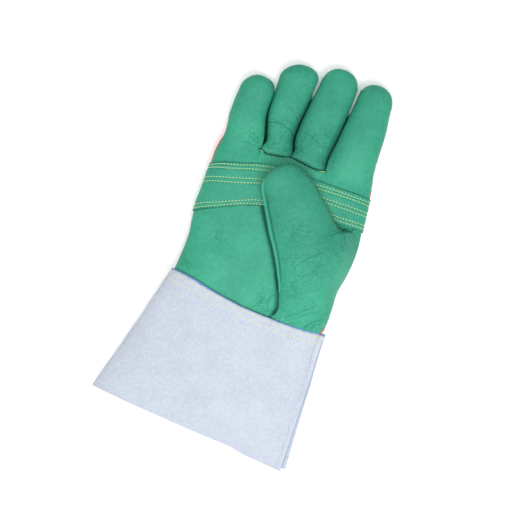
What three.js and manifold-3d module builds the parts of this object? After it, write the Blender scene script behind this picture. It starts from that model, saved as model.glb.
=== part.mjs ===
// A right-hand forestry work glove with a long gauntlet cuff, empty and lying palm up.
// Millimetres, +Z up out of the palm, +Y from the cuff to the fingertips, +X towards the thumb side.
// The origin is under the middle of the glove, on the surface that it lies on.
//
// The hand is sewn from leather panels. The palm panel also covers the fronts of the index and little
// fingers, the two middle fingers have a front piece of their own, and narrow gussets join the sides of
// neighbouring fingers. A reinforcing patch crosses the palm and goes on round the back as a knuckle strap.
// The thumb is a front and a back piece that lie over the palm, and the cuff is one sheet of split leather,
// folded on the little-finger side and sewn on the thumb side.
//
// Every panel is cut from one hollow skin: soft tubes are lofted through the rows of a table, the outer
// tubes are joined, the inner tubes are taken away, and the seams then divide the wall that is left.
import * as THREE from "three";
import { mergeVertices } from "three/addons/utils/BufferGeometryUtils.js";
import Module from "manifold-3d";

// Driving dimensions
const LEATHER = 1.6; // wall of the grain leather panels
const PATCH = 1.5; // wall of the patch and the strap
const SPLIT = 1.5; // wall of the split leather cuff
const WELT = 1.2; // how far the thumb's welt stands up
const SEAM = 0.3; // gap between two panels that are sewn together
const UNDER = PATCH + SEAM; // height of the hand's back above the surface, held up by strap and cuff
const THUMB_TURN = THREE.MathUtils.degToRad(30); // the thumb leans this far from +Y across the palm
const FACET = 0.05; // facets that differ by less than this are joined
const THUMB_CROTCH = 14; // where the thumb's back piece starts, along the thumb
const LOW = -20; // z below everything
const HIGH = 80; // z above everything

// Soft tubes. Each row is a cross section at one distance along the tube: its left and right sides, its top,
// the height of its widest line, and where its underside would be if the surface didn't flatten it.
// squareness is the section's exponent across, roundness its exponent in height: the cuff gives them by row.
const HAND_UNDERSIDE = -2;
const PALM = {
  sides: 36,
  squareness: 4.6,
  roundness: 2,
  floor: UNDER,
  turn: 0,
  tip: { from: 79, to: 93, centre: 1, steps: 3 },
  steps: 11,
  rows: [
    { along: -60, left: -62.8, right: 74.6, top: 21.8, edge: 11, under: HAND_UNDERSIDE },
    { along: -43, left: -63, right: 76, top: 23, edge: 11, under: HAND_UNDERSIDE },
    { along: -26, left: -62.3, right: 76, top: 24.5, edge: 11.5, under: HAND_UNDERSIDE },
    { along: -10, left: -62.8, right: 74.6, top: 25.2, edge: 12, under: HAND_UNDERSIDE },
    { along: 8, left: -65.8, right: 76.6, top: 25.5, edge: 12, under: HAND_UNDERSIDE },
    { along: 30, left: -66.6, right: 76.8, top: 25, edge: 12, under: HAND_UNDERSIDE },
    { along: 52, left: -67.6, right: 73.4, top: 24.5, edge: 12, under: HAND_UNDERSIDE },
    { along: 66, left: -68.4, right: 71.6, top: 23.8, edge: 12, under: HAND_UNDERSIDE },
    { along: 80, left: -66.9, right: 69.6, top: 22.6, edge: 11.5, under: HAND_UNDERSIDE },
  ],
};

const finger = (tip, rows) => ({
  sides: 20,
  squareness: 2.7,
  roundness: 2.3,
  floor: UNDER,
  turn: 0,
  tip: { steps: 4, ...tip },
  steps: 6,
  rows: rows.map((row) => ({ under: HAND_UNDERSIDE, edge: 11, ...row })),
});
const LITTLE = finger({ from: 127, to: 139.9, centre: -52.7 }, [
  { along: 56, left: -64, right: -30, top: 20.5 },
  { along: 82, left: -66.8, right: -31.6, top: 21.2 },
  { along: 98, left: -69, right: -35.7, top: 20.8 },
  { along: 110, left: -69.5, right: -39.2, top: 20.4 },
  { along: 127, left: -69.3, right: -40.7, top: 20 },
]);
const RING = finger({ from: 148, to: 161.9, centre: -21.5 }, [
  { along: 79, left: -29.6, right: -5.2, top: 17 },
  { along: 90, left: -31, right: -7.4, top: 21.4 },
  { along: 99, left: -33.6, right: -9.7, top: 21.8 },
  { along: 110, left: -38, right: -10.1, top: 21.5 },
  { along: 130, left: -39.3, right: -9.2, top: 21.2 },
  { along: 148, left: -41.2, right: -10, top: 20.6 },
]);
const MIDDLE = finger({ from: 156, to: 170.8, centre: 9.6 }, [
  { along: 79, left: -4.6, right: 24.2, top: 17 },
  { along: 90, left: -5.8, right: 23.6, top: 22 },
  { along: 99, left: -8.2, right: 23.9, top: 22.4 },
  { along: 110, left: -8.6, right: 24.8, top: 22.2 },
  { along: 130, left: -7.9, right: 26, top: 22 },
  { along: 156, left: -5.6, right: 25.5, top: 21.4 },
]);
const INDEX = finger({ from: 155, to: 169, centre: 43 }, [
  { along: 56, left: 26, right: 69.5, top: 21 },
  { along: 82, left: 24.9, right: 69.2, top: 22.4 },
  { along: 98, left: 25.2, right: 65.7, top: 22.4 },
  { along: 110, left: 26.2, right: 64.4, top: 22.2 },
  { along: 130, left: 27.3, right: 62.8, top: 21.8 },
  { along: 155, left: 28.5, right: 57.8, top: 21.2 },
]);
const FINGERS = [LITTLE, RING, MIDDLE, INDEX];

// The thumb's rows are measured along and across its own leaning axis. Its base dips into the hand.
const THUMB = {
  sides: 26,
  squareness: 2.7,
  roundness: 2.1,
  floor: UNDER,
  turn: THUMB_TURN,
  tip: { from: 55, to: 70.4, centre: 30.5, steps: 4 },
  steps: 9,
  rows: [
    { along: -48, left: 9, right: 46, top: 21, edge: 14, under: 6 },
    { along: -26, left: 10.4, right: 61, top: 30, edge: 19, under: 7 },
    { along: -8, left: 10.4, right: 69, top: 36.5, edge: 24, under: 9 },
    { along: 8, left: 9.4, right: 70.4, top: 41, edge: 29, under: 16 },
    { along: 20, left: 8.5, right: 64, top: 44, edge: 34.5, under: 26.6 },
    { along: 34, left: 8, right: 57.6, top: 46, edge: 36.5, under: 27.8 },
    { along: 46, left: 8.4, right: 54, top: 46.5, edge: 37, under: 27.8 },
    { along: 55, left: 9.9, right: 50.6, top: 46, edge: 37, under: 27.8 },
  ],
};

// The cuff leaves the wrist with its edges at mid height, and by the mouth they lie near the surface.
const CUFF = {
  sides: 32,
  floor: 0,
  turn: 0,
  steps: 7,
  rows: [
    { along: -38, left: -64.8, right: 78.2, top: 26.4, edge: 11, under: -3, squareness: 5, roundness: 2.3 },
    { along: -48, left: -66.8, right: 78.8, top: 26.2, edge: 11, under: -3, squareness: 5, roundness: 2.3 },
    { along: -62, left: -69.7, right: 78.8, top: 25.4, edge: 10.4, under: -3, squareness: 4.8, roundness: 2.2 },
    { along: -90, left: -75.4, right: 81.4, top: 23.6, edge: 8, under: -4, squareness: 3.6, roundness: 1.8 },
    { along: -130, left: -84.5, right: 84.3, top: 21.6, edge: 5.2, under: -5, squareness: 2.9, roundness: 1.7 },
    { along: -178, left: -94.9, right: 86.6, top: 19.6, edge: 4, under: -6, squareness: 2.9, roundness: 1.7 },
  ],
};

// The cuff's back sheet goes on past the cut edge of its front sheet. This is the strip that shows.
const CUFF_LIP = [
  { along: -50, inner: 77.2, outer: 79.4, height: 11 },
  { along: -80, inner: 79, outer: 82.2, height: 9 },
  { along: -105, inner: 81.2, outer: 85, height: 6.8 },
  { along: -130, inner: 83, outer: 87.2, height: 5.2 },
  { along: -150, inner: 84.2, outer: 89.2, height: 4.6 },
  { along: -168, inner: 85, outer: 91.3, height: 4.2 },
];

// Soft hollows pressed into the palm, and the ridge where the thumb pulls it up
const DENTS = [
  { x: -36, y: -4, across: 20, along: 14, depth: 1.6 },
  { x: -8, y: -26, across: 14, along: 16, depth: 1.2 },
  { x: -47, y: -36, across: 12, along: 6, depth: 1.4 },
  { x: 52, y: -38, across: 16, along: 5, depth: 1.5 },
  { x: -20, y: 20, across: 16, along: 9, depth: -0.8 },
];

// Height of the seam between the palm side and the back, on the little finger's side and on the index
// finger's. Above the widest line the back's red leather shows from above, and below it doesn't.
const SIDE_SEAM = [
  { along: -90, little: 11, index: 15 },
  { along: -42, little: 9, index: 15 },
  { along: -34, little: 8, index: 9 },
  { along: 48, little: 8, index: 9 },
  { along: 56, little: 15.5, index: 9 },
  { along: 76, little: 15.5, index: 14 },
  { along: 88, little: 9, index: 13.5 },
  { along: 98, little: 9, index: 9 },
  { along: 116, little: 9, index: 13.5 },
  { along: 127, little: 9, index: 13.5 },
  { along: 132, little: 9, index: 9 },
  { along: 190, little: 9, index: 9 },
];

// Seams and edges seen from above, each as the points that a smooth curve goes through
const MIDDLE_SEAM = [
  [-30.3, 81], [-22, 79.6], [-12, 81.6], [-6.2, 83.8], [2, 83], [16, 82], [24.7, 84.2],
];
const THUMB_SEAM = [
  [96, 48.5], [74, 45.6], [56, 41.2], [36, 33], [20, 12], [19, -14], [28, -36], [31, -48], [30, -66],
];
const WELT_OUTER = [
  [-21, 55], [-19.5, 47], [-12.8, 38.5], [-5.2, 26.3], [0.5, 17.3], [8.2, 7.3], [15, -2.7], [20.5, -12.5], [25.5, -21.5],
];
const WELT_INNER = [
  [-17.4, 51.6], [-13.9, 45.2], [-8.2, 36.3], [-1.6, 26.3], [5, 15.2], [11.6, 6.3], [18.3, -4.8], [23, -13.6], [27, -19.6],
];
const PATCH_TOP = [
  [-84, 51], [-66, 54.8], [-42, 63.4], [-20, 71.6], [5, 73.8], [36, 74], [70, 76.6], [90, 77],
];
const PATCH_FOOT = [
  [-84, 2], [-66, 11], [-44, 22.6], [-27, 31], [-8, 37.4], [24, 43.4], [56, 46], [90, 48.4],
];
const CUFF_TOP = [
  [-80, -42], [-58, -42.8], [-22, -47.6], [16, -51], [46, -50.6], [80, -47.4], [100, -45],
];
const CUFF_FOOT = [
  [-110, -160], [-72, -162], [-22, -163.8], [42, -165.6], [66, -168.8], [85, -171], [110, -171],
];
const FOURCHETTE = { from: 70, wide: 9.5, narrow: 3, middle: 11 }; // finger gussets: start and heights
const FINGERTIP = 42; // length of the leather caps on the fingers' backs

const wasm = await Module();
wasm.setup();

/** A manifold solid from a closed geometry, whose shared vertices are merged first. */
function toSolid(geometry) {
  geometry.deleteAttribute("normal");
  geometry.deleteAttribute("uv");
  const merged = mergeVertices(geometry);
  return new wasm.Manifold(
    new wasm.Mesh({
      numProp: 3,
      vertProperties: merged.attributes.position.array,
      triVerts: new Uint32Array(merged.index.array),
    }),
  );
}

/** The value of one column of a table at a distance, on a smooth curve through the rows. */
function column(rows, name, along) {
  const way = Math.sign(rows[1].along - rows[0].along);
  let k = rows.findIndex((row) => (row.along - along) * way > 0) - 1;
  if (k === -2) k = rows.length - 2;
  k = Math.max(k, 0);
  const slope = (i) => {
    const a = rows[Math.max(i - 1, 0)];
    const b = rows[Math.min(i + 1, rows.length - 1)];
    return (b[name] - a[name]) / (b.along - a.along);
  };
  const [a, b] = [rows[k], rows[k + 1]];
  const span = b.along - a.along;
  const t = THREE.MathUtils.clamp((along - a.along) / span, 0, 1);
  const beyond = along - (a.along + t * span);
  const [t2, t3] = [t * t, t * t * t];
  return (
    (2 * t3 - 3 * t2 + 1) * a[name] +
    (t3 - 2 * t2 + t) * span * slope(k) +
    (3 * t2 - 2 * t3) * b[name] +
    (t3 - t2) * span * slope(k + 1) +
    beyond * slope(t > 0.5 ? k + 1 : k)
  );
}

/** How far the soft hollows lower the palm at a point. */
function dent(x, y) {
  return DENTS.reduce(
    (sum, d) => sum + d.depth * Math.exp(-(((x - d.x) / d.across) ** 2) - ((y - d.y) / d.along) ** 2),
    0,
  );
}

/**
 * One cross section of a tube, grown outwards by grow: a superellipse whose upper and lower halves meet at
 * the widest line. The surface flattens its underside. full shrinks it towards the tip's centre.
 */
function ring(tube, along, grow, full = 1, shift = 0) {
  const at = (name) => column(tube.rows, name, Math.min(along, tube.tip ? tube.tip.from : Infinity));
  const [left, right, top, edge, under] = ["left", "right", "top", "edge", "under"].map(at);
  const squareness = tube.squareness ?? at("squareness");
  const roundness = tube.roundness ?? at("roundness");
  const centre = (left + right) / 2 + shift;
  const half = ((right - left) / 2) * full + grow;
  const up = (top - edge) * full + grow;
  const down = (edge - under) * full + grow;
  const points = [];
  for (let i = 0; i < tube.sides; i++) {
    const angle = ((i + 0.5) / tube.sides) * 2 * Math.PI;
    const [c, s] = [Math.cos(angle), Math.sin(angle)];
    const across = centre + half * Math.sign(c) * Math.abs(c) ** (2 / squareness);
    const rise = Math.sign(s) * Math.abs(s) ** (2 / roundness);
    const pressed = tube === PALM && s > 0 ? dent(across, along) * s : 0;
    const z = edge + rise * (s > 0 ? up : down) - pressed;
    const point = new THREE.Vector3(across, along, Math.max(z, tube.floor - grow));
    points.push(point.applyAxisAngle(new THREE.Vector3(0, 0, 1), tube.turn));
  }
  return points;
}

/** The closed solid through a list of rings that have the same number of points. */
function loft(rings) {
  const count = rings[0].length;
  const middles = [rings[0], rings[rings.length - 1]].map((points) =>
    points.reduce((sum, p) => sum.add(p), new THREE.Vector3()).divideScalar(count),
  );
  const index = [];
  const first = rings.length * count;
  for (let i = 0; i < count; i++) {
    const j = (i + 1) % count;
    for (let k = 0; k < rings.length - 1; k++) {
      const [a, b, c, d] = [k * count + i, k * count + j, (k + 1) * count + j, (k + 1) * count + i];
      index.push(a, c, b, a, d, c);
    }
    index.push(first, i, j, first + 1, first - count + j, first - count + i);
  }
  const points = [...rings.flat(), ...middles];
  const geometry = new THREE.BufferGeometry().setFromPoints(points);
  geometry.setIndex(index);
  const made = toSolid(geometry);
  if (made.volume() > 0) return made;
  geometry.setIndex(index.reverse());
  return toSolid(geometry);
}

/** A whole tube, grown outwards by grow, with its first ring moved back by reach. */
function tube(spec, grow = 0, reach = 0) {
  const start = spec.rows[0].along;
  const end = spec.tip ? spec.tip.from : spec.rows[spec.rows.length - 1].along;
  const back = Math.sign(start - end) * (reach + grow);
  const rings = [];
  for (let k = 0; k <= spec.steps; k++) {
    const along = THREE.MathUtils.lerp(start, end, k / spec.steps);
    rings.push(ring(spec, k ? along : along + back, grow));
  }
  if (spec.tip) {
    const { from, to, centre, steps } = spec.tip;
    const middle = (column(spec.rows, "left", from) + column(spec.rows, "right", from)) / 2;
    for (let k = 1; k <= steps; k++) {
      const u = Math.sin(((k / steps) * 0.92 * Math.PI) / 2);
      const full = (1 - u ** 2.4) ** (1 / 2.4);
      rings.push(ring(spec, from + (to + grow - from) * u, grow * full, full, (centre - middle) * u * u));
    }
    const last = rings[rings.length - 1];
    const way = new THREE.Vector3(0, 1, 0).applyAxisAngle(new THREE.Vector3(0, 0, 1), spec.turn);
    const rest = (to + grow - from) * (1 - Math.sin((0.92 * Math.PI) / 2));
    const middlePoint = last.reduce((sum, p) => sum.add(p), new THREE.Vector3()).divideScalar(last.length);
    rings.push(last.map((p) => p.clone().lerp(middlePoint, 0.7).addScaledVector(way, rest)));
  }
  return loft(rings);
}

/** A vertical prism over an outline seen from above. */
function prism(points, low = LOW, high = HIGH) {
  const shape = new THREE.Shape(points.map(([x, y]) => new THREE.Vector2(x, y)));
  const geometry = new THREE.ExtrudeGeometry(shape, { depth: high - low, bevelEnabled: false });
  return toSolid(geometry.translate(0, 0, low));
}

/** Points on the smooth curve through the given ones, moved sideways by shift, left of the way it runs. */
function curve(points, shift = 0, pieces = 14) {
  const spline = new THREE.SplineCurve(points.map(([x, y]) => new THREE.Vector2(x, y)));
  return Array.from({ length: pieces + 1 }, (_, k) => {
    const p = spline.getPoint(k / pieces);
    const t = spline.getTangent(k / pieces);
    return [p.x - t.y * shift, p.y + t.x * shift];
  });
}

/** Everything above the side seams, or below them with way -1, less half the gap of the seam. */
function sideOfSeam(way) {
  const far = way > 0 ? HIGH : LOW;
  const rings = SIDE_SEAM.map(({ along, little, index }) =>
    [
      [-130, little],
      [-20, little],
      [20, index],
      [130, index],
      [130, null],
      [-130, null],
    ].map(([x, z]) => new THREE.Vector3(x, along, z === null ? far : z + (way * SEAM) / 2)),
  );
  return loft(rings);
}

/** The part of the wall that belongs to one panel: the biggest body, without the crumbs that cuts leave. */
function panel(solid) {
  return solid.decompose().reduce((most, body) => (body.volume() > most.volume() ? body : most));
}

const union = (solids) => solids.reduce((sum, solid) => sum.add(solid));

// The hollow skin of the hand, thumb included
const inside = union([
  tube(PALM, -LEATHER, 20),
  ...FINGERS.map((f) => tube(f, -LEATHER)),
  tube(THUMB, -LEATHER),
]);
const skin = union([PALM, ...FINGERS, THUMB].map((part) => tube(part))).subtract(inside);
const front = sideOfSeam(1);
const back = sideOfSeam(-1);

// The thumb's share of the skin: its own tube, and the side of the hand below its seam
const thumbShare = (gap) =>
  tube(THUMB, gap).add(prism([...curve(THUMB_SEAM, -gap), [110, -66], [110, 48.5]]).intersect(front));

// The thumb's back piece: everything below its widest line, from the crotch to past the tip
function thumbBackZone(gap) {
  const { rows, turn } = THUMB;
  const rings = [THUMB_CROTCH - gap, 26, 34, 46, 90].map((along) => {
    const seam = column(rows, "edge", Math.min(along, 55)) - SEAM / 2 + gap;
    return [[-30, LOW], [110, LOW], [110, seam], [-30, seam]].map(([across, z]) =>
      new THREE.Vector3(across, along, z).applyAxisAngle(new THREE.Vector3(0, 0, 1), turn),
    );
  });
  return loft(rings);
}

// The middle fingers' share of the palm side, from their seam to past their tips
const midGap = (a, b, along) => (column(a.rows, "right", along) + column(b.rows, "left", along)) / 2;
function middleShare(gap) {
  const [upLeft, upRight] = [
    [92, 100, 110, 122, 140].map((y) => [midGap(LITTLE, RING, Math.min(y, 127)) - gap / 2, y]),
    [92, 100, 110, 130, 150].map((y) => [midGap(MIDDLE, INDEX, y) + gap / 2, y]),
  ];
  const seam = curve(MIDDLE_SEAM, -gap);
  return prism([...seam, ...upRight, [26.8 + gap, 180], [-52, 180], [-44 - gap, 146], ...upLeft.reverse()]);
}

// The gussets between two fingers: a strip of each one's side wall, joined round the crotch. The strip
// gets lower towards the tips.
function gusset(a, b, gap) {
  const { from, wide, narrow, middle } = FOURCHETTE;
  const centre = (f, y) => (column(f.rows, "left", y) + column(f.rows, "right", y)) / 2;
  const end = Math.min(a.tip.to, b.tip.to) - 6;
  const strip = [from, 96, end + gap].map((y, k) => {
    const half = [wide / 2, wide / 2, narrow / 2][k] + gap;
    return [
      [centre(a, Math.min(y, a.tip.from)), -half],
      [centre(b, Math.min(y, b.tip.from)), -half],
      [centre(b, Math.min(y, b.tip.from)), half],
      [centre(a, Math.min(y, a.tip.from)), half],
    ].map(([x, z]) => new THREE.Vector3(x, y, middle + z));
  });
  return loft(strip);
}
const GUSSETS = [
  ["gusset_little_ring", LITTLE, RING],
  ["gusset_ring_middle", RING, MIDDLE],
  ["gusset_middle_index", MIDDLE, INDEX],
];
const beyondRoots = prism([[-100, 84], [100, 84], [100, 190], [-100, 190]]);
const gussets = (gap) => union(GUSSETS.map(([, a, b]) => gusset(a, b, gap))).intersect(beyondRoots);

// Leather
const leather = (color, roughness) => new THREE.MeshStandardMaterial({ color, roughness, metalness: 0 });
const GREEN = leather(0x48a388, 0.55);
const DARK_GREEN = leather(0x3d9079, 0.6);
const RED = leather(0xe0452f, 0.75);
const GREY = leather(0xcdd6e5, 0.95);

const glove = new THREE.Group();

/** Adds a finished solid to the glove as a named piece. */
function piece(name, solid, material) {
  const { numProp, vertProperties, triVerts } = panel(solid).simplify(FACET).getMesh();
  const points = new THREE.InterleavedBuffer(vertProperties, numProp);
  const geometry = new THREE.BufferGeometry();
  geometry.setAttribute("position", new THREE.InterleavedBufferAttribute(points, 3, 0));
  geometry.setIndex(new THREE.BufferAttribute(triVerts, 1));
  const mesh = new THREE.Mesh(geometry, material);
  mesh.name = name;
  glove.add(mesh);
}

// Palm side
const palmSide = skin.intersect(front).subtract(gussets(SEAM));
piece("palm_panel", palmSide.subtract(thumbShare(SEAM)).subtract(middleShare(SEAM)), GREEN);
piece("middle_fingers_front", palmSide.intersect(middleShare(0)), GREEN);

// Gussets
for (const [name, a, b] of GUSSETS)
  piece(name, skin.intersect(gusset(a, b, 0)).intersect(beyondRoots), DARK_GREEN);

// Back, with a leather cap over each fingertip
const backSide = skin.intersect(back).subtract(gussets(SEAM));
const CAPS = [
  ["fingertip_little", LITTLE, -85, -40.2],
  ["fingertip_ring", RING, -40.2, -8.2],
  ["fingertip_middle", MIDDLE, -8.2, 26.5],
  ["fingertip_index", INDEX, 26.5, 80],
].map(([name, f, left, right]) => ({
  name,
  zone: (gap) => {
    const y = f.tip.to - FINGERTIP - gap;
    return prism([[left, y], [right, y], [right, 180], [left, 180]]);
  },
}));
piece("back_panel", CAPS.reduce((rest, cap) => rest.subtract(cap.zone(SEAM)), backSide), RED);
for (const cap of CAPS) piece(cap.name, backSide.intersect(cap.zone(0)), GREEN);

// Patch and strap, one band round the hand that ends at the thumb's seam
const bandZone = prism([...curve(PATCH_FOOT), ...curve(PATCH_TOP).reverse()]);
const band = tube(PALM, UNDER).subtract(tube(PALM, SEAM, 10)).intersect(bandZone);
const bandFront = band.intersect(front).subtract(thumbShare(SEAM));
const fingerRoots = union(FINGERS.map((f) => tube(f, SEAM)));
piece("palm_patch", bandFront.subtract(fingerRoots), GREEN);
piece("knuckle_strap", band.intersect(back).subtract(fingerRoots), GREEN);

// Thumb, with a raised welt in the seam along its left edge
const weltZone = prism([...curve(WELT_OUTER), ...curve(WELT_INNER).reverse()]);
const overPalm = tube(PALM, SEAM, 10);
const thumb = skin.intersect(front).intersect(thumbShare(0));
const welt = tube(THUMB, WELT + SEAM).subtract(tube(THUMB, SEAM)).intersect(weltZone);
piece("thumb_front", thumb.subtract(thumbBackZone(SEAM)), GREEN);
piece("thumb_back", thumb.intersect(thumbBackZone(0)), GREEN);
piece("thumb_welt", welt.subtract(thumbBackZone(0)).subtract(overPalm), GREEN);

// Cuff
const cuffZone = prism([...curve(CUFF_FOOT), ...curve(CUFF_TOP).reverse()]);
const cuff = tube(CUFF).subtract(tube(CUFF, -SPLIT, 20)).intersect(cuffZone);
const lip = loft(
  CUFF_LIP.map(({ along, inner, outer, height }) =>
    [
      [inner, height - SPLIT],
      [outer, height - SPLIT],
      [outer, height],
      [inner, height],
    ].map(([x, z]) => new THREE.Vector3(x, along, z)),
  ),
);
piece("cuff", cuff.add(lip), GREY);

// The origin goes under the middle of the whole glove
const { min, max } = new THREE.Box3().setFromObject(glove);
for (const mesh of glove.children)
  mesh.geometry.translate(-(min.x + max.x) / 2, -(min.y + max.y) / 2, -min.z);

export default glove;
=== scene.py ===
import math

import bpy
import numpy as np
from mathutils import Matrix, Vector
from mathutils.bvhtree import BVHTree


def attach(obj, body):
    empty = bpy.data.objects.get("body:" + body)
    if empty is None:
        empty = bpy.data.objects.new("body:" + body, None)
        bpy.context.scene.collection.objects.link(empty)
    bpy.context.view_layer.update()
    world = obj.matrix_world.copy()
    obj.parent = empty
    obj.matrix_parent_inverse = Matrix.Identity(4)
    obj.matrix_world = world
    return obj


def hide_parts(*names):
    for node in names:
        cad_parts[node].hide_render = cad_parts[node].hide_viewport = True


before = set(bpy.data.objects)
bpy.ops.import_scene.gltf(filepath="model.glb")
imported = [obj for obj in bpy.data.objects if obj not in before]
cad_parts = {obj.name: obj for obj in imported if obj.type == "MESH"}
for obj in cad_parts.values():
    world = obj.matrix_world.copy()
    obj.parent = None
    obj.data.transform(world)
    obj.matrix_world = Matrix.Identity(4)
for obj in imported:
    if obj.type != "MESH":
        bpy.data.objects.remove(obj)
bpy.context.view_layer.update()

# Palm panel
# One piece of green grain leather: the palm and the fronts of the little and the index finger. It is cut
# from a hide 1.5 mm thick and sewn inside out, so its edges turn in at every seam and the grain is outside.
# Rows are cross sections in millimetres: where the sides are, how high the top is and where the edge lies.
HAND = {
    "along": [-62, -52, -43, -26, -10, 8, 30, 52, 66, 80, 96],
    "left": [-62.6, -62.8, -63, -62.3, -62.8, -65.8, -66.6, -67.6, -68.4, -66.9, -66.4],
    "right": [71.6, 72.8, 75.8, 76, 74.6, 76.9, 77.3, 73.8, 71.6, 69.6, 67],
    "top": [21.6, 22, 23, 24.5, 25.2, 25.5, 25, 24.5, 23.8, 22.2, 21],
    "edge": [11, 11, 11, 11.5, 12, 12, 12, 12, 12, 11.5, 11],
}
LITTLE = {
    "along": [56, 82, 98, 110, 127],
    "left": [-64, -66.8, -69, -69.5, -69.2],
    "right": [-30, -31.6, -35.7, -38.9, -39.5],
    "top": [20.5, 21.6, 21.8, 21.4, 21],
    "tip": {"from": 124, "to": 140, "centre": -53.2},
}
RING = {
    "along": [79, 90, 99, 110, 130, 148],
    "left": [-31, -30.6, -33.6, -37.6, -39.7, -41.2],
    "right": [-5.2, -6.6, -9.4, -10.1, -8.8, -8.8],
    "top": [19, 21.8, 21.2, 20.6, 20.2, 19.6],
    "tip": {"from": 146, "to": 162, "centre": -21.8},
}
MIDDLE = {
    "along": [79, 90, 99, 110, 130, 156],
    "left": [-5, -5.4, -8.2, -8.9, -8.2, -6],
    "right": [24.6, 24.2, 24.2, 25, 26.2, 26],
    "top": [19, 22, 21.8, 21.2, 20.8, 20.4],
    "tip": {"from": 153, "to": 171, "centre": 10},
}
INDEX = {
    "along": [56, 82, 98, 110, 130, 155],
    "left": [26, 24.7, 24.6, 25.6, 26.8, 28.2],
    "right": [69.5, 69.2, 65.7, 64.4, 62.8, 58.6],
    "top": [21, 22.8, 23.3, 23.3, 22.9, 22.2],
    "tip": {"from": 152, "to": 169.4, "centre": 43},
}
PALM_SQUARE = 4.4
FINGER_SQUARE = 2.35
FINGER_EDGE = 11
GUSSET_START = 0.93
GRAIN_THICK = 1.5
WRIST_END = -58
FINGER_ROOTS = 84
ARCHES_MIX = (68, 102)
UNDER_THE_WING = 28
MIDDLE_SEAM = [
    (-32.5, 81), (-26, 79), (-22, 79.4), (-12, 81.4), (-6.2, 83.4), (2, 82.8), (16, 81.8), (25, 83.6),
]
THUMB_SEAM = [(20, -12), (26, -22), (30.5, -32), (32.6, -40), (31.4, -46), (29, -52), (27, -60)]
THUMB_LINE = [(-21, 56), (-18, 45.5), (-5.8, 26), (7.6, 7), (20, -12.5), (28, -28), (31.6, -40), (31, -46)]
# The palm leather stops under the thumb's leather, as y and the x of its edge there.
PALM_EDGE = [(-60, 29), (-52, 31), (-46, 33), (-40, 34), (-32, 32.5), (-22, 28), (-12, 23), (8, 18), (30, 12)]
SIDE_SEAM = {
    "along": [-60, -42, -34, 48, 54, 76, 82, 98, 116, 128, 134, 170],
    "little": [5, 5, 5, 5, 14, 13.6, 7, 5, 6, 11, 11, 11],
    "index": [14, 14, 6, 5, 5, 13.6, 12.8, 6, 13.2, 13.2, 11, 11],
}
BACK_HEIGHT = 1.8
# A hollow is its place x, y, its reach across and along, and its depth.
DENTS = [
    (-36, -4, 15, 11, 2.6),
    (-50, -12, 9, 6, 1.3),
    (-57, -19, 8, 5, 0.7),
    (-8, -26, 13, 12, 1.9),
    (-47, -34, 12, 6, 1.3),
    (-24, 10, 14, 8, -0.7),
    (22, 76, 8, 5, 1.2),
    (-26, 75, 12, 5, 0.9),
    (-52, 97, 10, 5, 0.5),
    (-54, 112, 9, 6, 0.5),
    (46, 92, 9, 9, 0.4),
]
# A crease is its path in plan, its depth and its reach to either side.
PALM_CREASES = [
    ([(-47, 88), (-40, 86), (-33.5, 82.5)], 0.45, 0.8),
    ([(-44, 91.5), (-38, 88.5), (-33.5, 84.5)], 0.4, 0.75),
    ([(-50, 82), (-42, 82.5), (-34.5, 81)], 0.3, 0.8),
    ([(-41, -4.5), (-37.6, -3.4)], 0.5, 0.7),
    ([(-61, -30), (-56, -32), (-50, -34.5)], 0.55, 0.7),
    ([(-62, -34), (-57, -35), (-52, -36)], 0.4, 0.7),
    ([(13, -34), (17, -40), (16, -45)], 0.4, 0.75),
    ([(24, -30), (22, -37), (24, -44)], 0.45, 0.75),
    ([(29, -44), (24, -46), (20, -48)], 0.4, 0.75),
    ([(31, 86), (29, 92), (28.5, 99)], 0.3, 0.9),
]


def smooth(knots, values, at):
    """A cubic curve through the knots. Its slope at a knot is that of its neighbours, and past the ends it is
    straight."""
    knots, values, at = (np.asarray(a, float) for a in (knots, values, at))
    slope = np.gradient(values, knots)
    inside = np.clip(at, knots[0], knots[-1])
    k = np.clip(np.searchsorted(knots, inside) - 1, 0, len(knots) - 2)
    span = knots[k + 1] - knots[k]
    t = (inside - knots[k]) / span
    curve = (2 * t**3 - 3 * t**2 + 1) * values[k] + (3 * t**2 - 2 * t**3) * values[k + 1]
    curve = curve + span * ((t**3 - 2 * t**2 + t) * slope[k] + (t**3 - t**2) * slope[k + 1])
    return curve + (at - inside) * np.where(at > inside, slope[-1], slope[0])


def ease(low, high, at):
    """0 before low and 1 beyond high, with 3t² - 2t³ in between."""
    t = np.clip((at - low) / (high - low), 0, 1)
    return t * t * (3 - 2 * t)


def bulge(s, square, round_=2.0):
    """The height of a superellipse arch at s, from 0 at s = -1 and 1 to 1 at s = 0."""
    return np.maximum(1 - np.abs(s) ** square, 0) ** (1 / round_)


def line_at(path, x):
    """The y of a drawn line at x."""
    return smooth(*np.array(path).T, x)


def fine_path(path, count=60):
    """The smooth curve through a short list of points, as count points."""
    k = np.arange(len(path))
    fine = np.linspace(0, k[-1], count)
    return np.column_stack([smooth(k, values, fine) for values in np.array(path, float).T])


def path_distance(x, y, path):
    """How far each point is from a run of straight pieces, and how far along the run its nearest point is, from
    0 to 1."""
    path = np.asarray(path, float)
    lengths = np.hypot(*np.diff(path, axis=0).T)
    best, where, gone = np.full(x.shape, 1e9), np.zeros(x.shape), 0.0
    for (ax, ay), (bx, by), long in zip(path[:-1], path[1:], lengths):
        t = np.clip(((x - ax) * (bx - ax) + (y - ay) * (by - ay)) / long**2, 0, 1)
        away = np.hypot(x - ax - t * (bx - ax), y - ay - t * (by - ay))
        where = np.where(away < best, (gone + t * long) / lengths.sum(), where)
        best = np.minimum(best, away)
        gone += long
    return best, where


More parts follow.
